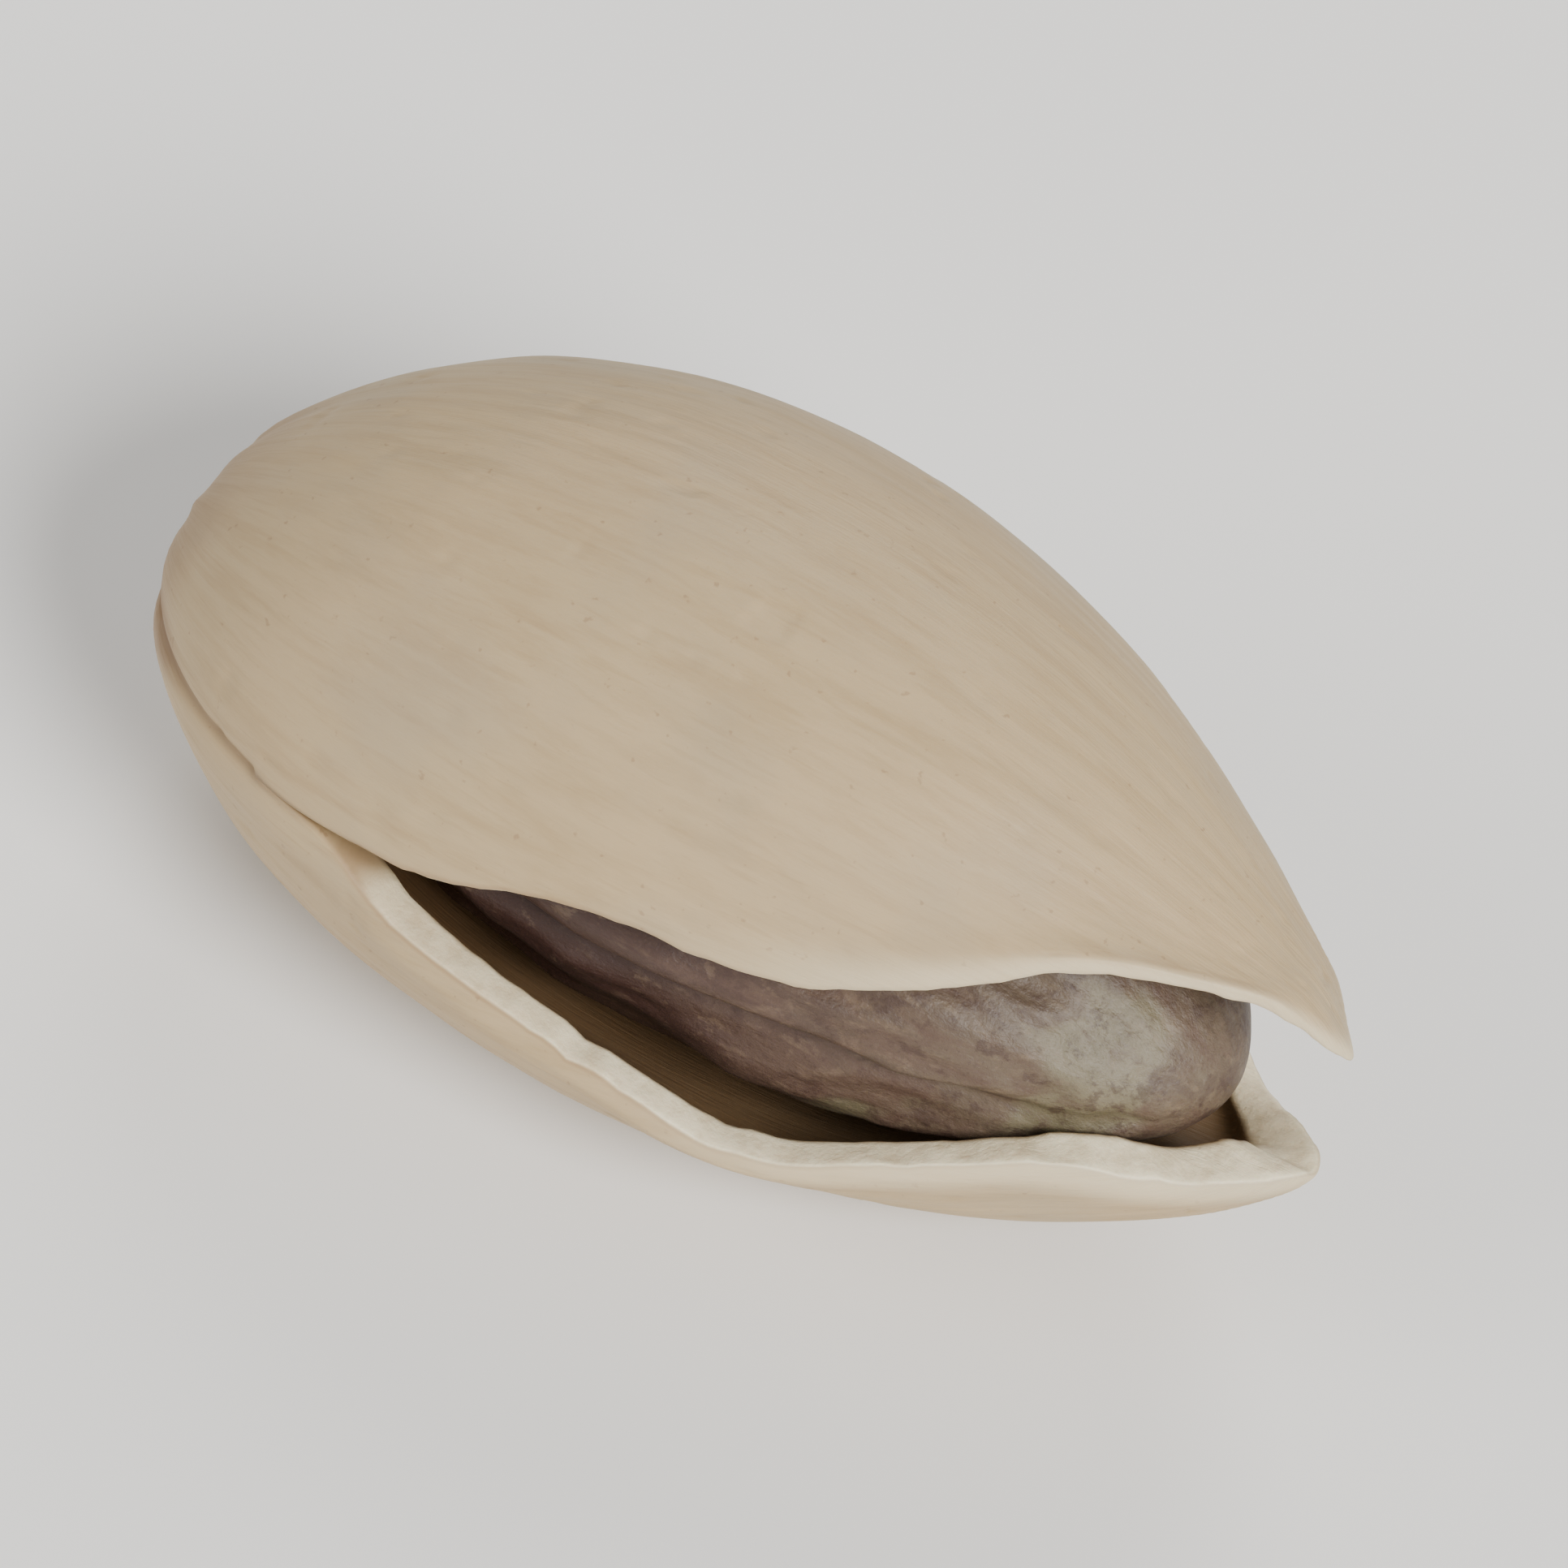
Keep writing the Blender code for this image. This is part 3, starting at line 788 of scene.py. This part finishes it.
class KernelFinish(Finish):
    """Satin seed skin: dark purple-brown at the stem end and greyer towards the tip, with darker veins and
    paler threads lengthwise, worn through to the green kernel in patches near the tip."""

    def __init__(self, colours):
        super().__init__("kernel_finish")
        self.colours = colours
        place = self.attribute("nut_place")
        lengthwise = self.shortened(place, 0.28)
        self.veins = self.noise(lengthwise, 1.5, detail=6.0, roughness=0.66, distortion=0.35)
        self.threads = self.noise(lengthwise, 5.0, detail=4.0, roughness=0.6)
        self.patches = self.noise(self.shortened(place, 0.6), 0.55, detail=4.0, roughness=0.6)
        self.mottles = self.noise(self.shortened(place, 0.7), 2.2, detail=5.0, roughness=0.7)
        self.flecks = self.noise(place, 8.0, detail=3.0, roughness=0.6)
        self.tipwards = self.between(self.part(place, "X"), -3.0, 6.0)
        relief = self.veins * 0.8 + self.threads * 0.5 + self.mottles * 0.6 + self.flecks * 0.3
        colour = self.mottled(self.worn(self.skin_colour(), self.flesh_colour()))
        self.coat(colour, 0.42 + self.flecks * 0.25, relief, 0.06 * MM)
        self.let_light_in(0.10, (0.8, 1.0, 0.3), 0.4 * MM)

    def skin_colour(self):
        """The skin: its two browns in patches, the lighter towards the tip, with veins and threads."""
        lighter = self.between(self.patches * 0.6 + self.tipwards * 0.4, 0.30, 0.62)
        threaded = self.between(self.threads, 0.54, 0.70) * (0.12 + self.tipwards * 0.35)
        brown = self.mix(lighter, self.colours.skin_dark, self.colours.skin_light)
        brown = self.mix(self.between(self.veins, 0.50, 0.60) * 0.6, brown, self.colours.skin_dark)
        return self.mix(threaded, brown, self.colours.skin_pale)

    def flesh_colour(self):
        """The kernel under its skin: two greens in patches, with the skin's veins left on them."""
        green = self.mix(self.between(self.patches, 0.40, 0.60), self.colours.flesh, self.colours.flesh_pale)
        return self.mix(self.between(self.veins, 0.50, 0.62) * 0.55, green, self.colours.skin_light)

    def worn(self, brown, green):
        """The skin with the flesh showing through where it is thin and where it is worn away."""
        thin = self.between(self.veins * 0.6 + self.tipwards * 0.35, 0.52, 0.74) * 0.45
        worn_away = (1.0 - self.attribute("skin", "Fac")) * 0.85
        return self.mix(worn_away, self.mix(thin, brown, green), green)

    def mottled(self, colour):
        """The colour with dark and pale mottles and dark flecks."""
        dark = self.between(self.mottles, 0.53, 0.63) * 0.55
        pale = (1.0 - self.between(self.mottles, 0.35, 0.43)) * 0.30
        flecked = self.between(self.flecks, 0.60, 0.70) * 0.4
        colour = self.mix(dark, colour, self.colours.skin_dark)
        colour = self.mix(pale, colour, self.colours.skin_pale)
        return self.mix(flecked, colour, self.colours.skin_dark)


def floor_material(colour):
    """Plain matt floor."""
    finish = Finish("floor_finish")
    finish.feed(finish.shader.inputs["Base Color"], (*colour, 1.0))
    finish.feed(finish.shader.inputs["Roughness"], 0.75)
    return finish.material


def direction_to(azimuth, elevation):
    """The unit vector towards a camera or light: azimuth 0 is at -Y and 90 degrees at +X."""
    level = math.cos(elevation)
    return Vector((math.sin(azimuth) * level, -math.cos(azimuth) * level, math.sin(elevation)))


def aim(thing, target):
    thing.rotation_euler = (target - thing.location).to_track_quat("-Z", "Y").to_euler()


def add_lamp(name, azimuth, elevation, width, strength):
    """A soft lamp so far off that it lights the whole floor evenly, as wide in the sky as its angle."""
    light = bpy.data.lights.new(name, "SUN")
    light.angle = math.radians(width)
    light.energy = strength
    made = bpy.data.objects.new(name, light)
    made.location = direction_to(math.radians(azimuth), math.radians(elevation))
    aim(made, Vector())
    bpy.context.scene.collection.objects.link(made)


def add_floor(side, colour):
    """A level square under the nut."""
    half = side / 2
    corners = np.array(((-half, -half, 0.0), (half, -half, 0.0), (half, half, 0.0), (-half, half, 0.0)))
    mesh = build_mesh("floor", corners, [np.array(((0, 1, 2, 3),))], {})
    mesh.materials.append(floor_material(colour))
    floor = bpy.data.objects.new("floor", mesh)
    bpy.context.scene.collection.objects.link(floor)


def add_camera(stage, target):
    """The camera, held askew by its roll, which tilts the nut in the picture as it lies in the photo."""
    camera = bpy.data.cameras.new("camera")
    camera.lens = stage.lens
    camera.clip_start = 0.01
    made = bpy.data.objects.new("camera", camera)
    made.location = target + direction_to(stage.azimuth, stage.elevation) * stage.distance
    aim(made, target)
    made.rotation_euler = (made.rotation_euler.to_matrix() @ Matrix.Rotation(stage.roll, 3, "Z")).to_euler()
    bpy.context.scene.collection.objects.link(made)
    bpy.context.scene.camera = made


def add_sky(colour, strength):
    world = bpy.data.worlds.new("soft room")
    world.use_nodes = True
    background = world.node_tree.nodes["Background"]
    background.inputs["Color"].default_value = (*colour, 1.0)
    background.inputs["Strength"].default_value = strength
    bpy.context.scene.world = world


def colour_setting(name, description, default):
    return bpy.props.FloatVectorProperty(name=name, description=description, subtype="COLOR", size=3,
                                         min=0.0, max=1.0, default=default)


def length_setting(name, description, default):
    return bpy.props.FloatProperty(name=name, description=description, unit="LENGTH", min=0.0,
                                   default=default)


def angle_setting(name, description, degrees):
    return bpy.props.FloatProperty(name=name, description=description, subtype="ANGLE",
                                   default=math.radians(degrees))


class ShellSettings(bpy.types.PropertyGroup):
    relief: bpy.props.FloatProperty(
        name="Relief", description="The strength of the outside's fine relief", min=0.0, default=1.0)
    colour: colour_setting("Shell", "The hard shell's main colour", display(184, 160, 121))
    streak_colour: colour_setting("Streaks", "The lengthwise streaks", display(160, 132, 91))
    blotch_colour: colour_setting("Blotches", "The greyer patches", display(162, 147, 121))
    stain_colour: colour_setting("Stains", "The stem end, specks and joined suture", display(124, 88, 56))
    scar_colour: colour_setting("Stem scar", "The round scar where the stalk was", display(110, 80, 53))
    # The pale lip colour, also used for the painted lit band beside the lips
    lip_and_lit_band_colour: colour_setting("Lips", "The broken-open edge", display(236, 223, 190))
    # Painted shade: this dark brown stands in for the shade on the shell's inside, which is pale tan under
    # any lamp
    inside_shade_colour: colour_setting("Inside", "The shell's smooth inner side", display(118, 92, 65))


class KernelSettings(bpy.types.PropertyGroup):
    groove_depth: length_setting("Groove", "The depth of the seed leaves' joint", GROOVE_DEPTH)
    wrinkle_depth: length_setting("Wrinkles", "The depth of the large wrinkles", WRINKLE_DEPTH)
    skin_dark: colour_setting("Dark skin", "The skin's darkest brown", display(60, 39, 32))
    skin_light: colour_setting("Light skin", "The skin's lighter brown", display(84, 64, 52))
    skin_pale: colour_setting("Threads", "The skin's pale threads", display(118, 98, 78))
    flesh: colour_setting("Flesh", "The kernel under its skin", display(96, 88, 64))
    flesh_pale: colour_setting("Pale flesh", "The kernel's paler patches", display(118, 109, 87))


class StageSettings(bpy.types.PropertyGroup):
    azimuth: angle_setting("Azimuth", "The camera's place round the nut, 0 at -Y", 22.7)
    elevation: angle_setting("Elevation", "The camera's angle above the floor", 48.1)
    roll: angle_setting("Roll", "The camera's turn about its line of sight", 12.5)
    distance: length_setting("Distance", "From the camera to the nut's middle", 165.0 * MM)
    lens: bpy.props.FloatProperty(
        name="Lens", description="The camera's focal length, in millimetres", default=250.0)
    floor_colour: colour_setting("Floor", "The pale floor", display(240, 238, 234))
    key_light: bpy.props.FloatProperty(
        name="Key light", description="The main light's strength, in watts a square metre", default=4.6)


class PISTACHIO_OT_shell(bpy.types.Operator):
    """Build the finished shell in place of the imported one"""
    bl_idname = "pistachio.shell"
    bl_label = "Shell"

    def execute(self, context):
        context.scene.pistachio_move = make_shell(context.scene.pistachio_shell)
        return {"FINISHED"}


class PISTACHIO_OT_kernel(bpy.types.Operator):
    """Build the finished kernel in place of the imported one"""
    bl_idname = "pistachio.kernel"
    bl_label = "Kernel"

    def execute(self, context):
        make_kernel(context.scene.pistachio_kernel, np.array(context.scene.pistachio_move))
        return {"FINISHED"}


class PISTACHIO_OT_stage(bpy.types.Operator):
    """Set up the pale floor, the soft light and the camera"""
    bl_idname = "pistachio.stage"
    bl_label = "Stage"

    def execute(self, context):
        stage = context.scene.pistachio_stage
        target = Vector((CAD_BOX[0] + CAD_BOX[1]) / 2)
        add_floor(FLOOR_SIDE, stage.floor_colour)
        add_sky((1.0, 1.0, 1.0), SKY_STRENGTH)
        for name, (azimuth, elevation, width, share) in LAMPS.items():
            add_lamp(name, azimuth, elevation, width, stage.key_light * share)
        add_camera(stage, target)
        return {"FINISHED"}


class PISTACHIO_PT_panel(bpy.types.Panel):
    """The nut's pieces and stage"""
    bl_idname = "PISTACHIO_PT_panel"
    bl_label = "Pistachio"
    bl_space_type = "VIEW_3D"
    bl_region_type = "UI"
    bl_category = "Pistachio"

    def draw(self, context):
        for settings, operator in SECTIONS:
            box = self.layout.box()
            group = getattr(context.scene, settings)
            for name in group.bl_rna.properties.keys():
                if name not in ("rna_type", "name"):
                    box.prop(group, name)
            box.operator(operator)


SECTIONS = (
    ("pistachio_shell", "pistachio.shell"),
    ("pistachio_kernel", "pistachio.kernel"),
    ("pistachio_stage", "pistachio.stage"),
)
CLASSES = (ShellSettings, KernelSettings, StageSettings, PISTACHIO_OT_shell, PISTACHIO_OT_kernel,
           PISTACHIO_OT_stage, PISTACHIO_PT_panel)


def register():
    for made in CLASSES:
        bpy.utils.register_class(made)
    scene = bpy.types.Scene
    scene.pistachio_shell = bpy.props.PointerProperty(type=ShellSettings)
    scene.pistachio_kernel = bpy.props.PointerProperty(type=KernelSettings)
    scene.pistachio_stage = bpy.props.PointerProperty(type=StageSettings)
    scene.pistachio_move = bpy.props.FloatVectorProperty(
        name="Move", description="How far the laid-down nut is moved", unit="LENGTH")


def unregister():
    for name in ("pistachio_shell", "pistachio_kernel", "pistachio_stage", "pistachio_move"):
        delattr(bpy.types.Scene, name)
    for made in reversed(CLASSES):
        bpy.utils.unregister_class(made)


def main():
    register()
    bpy.ops.pistachio.shell()
    bpy.ops.pistachio.kernel()
    bpy.ops.pistachio.stage()


if __name__ == "__main__":
    main()
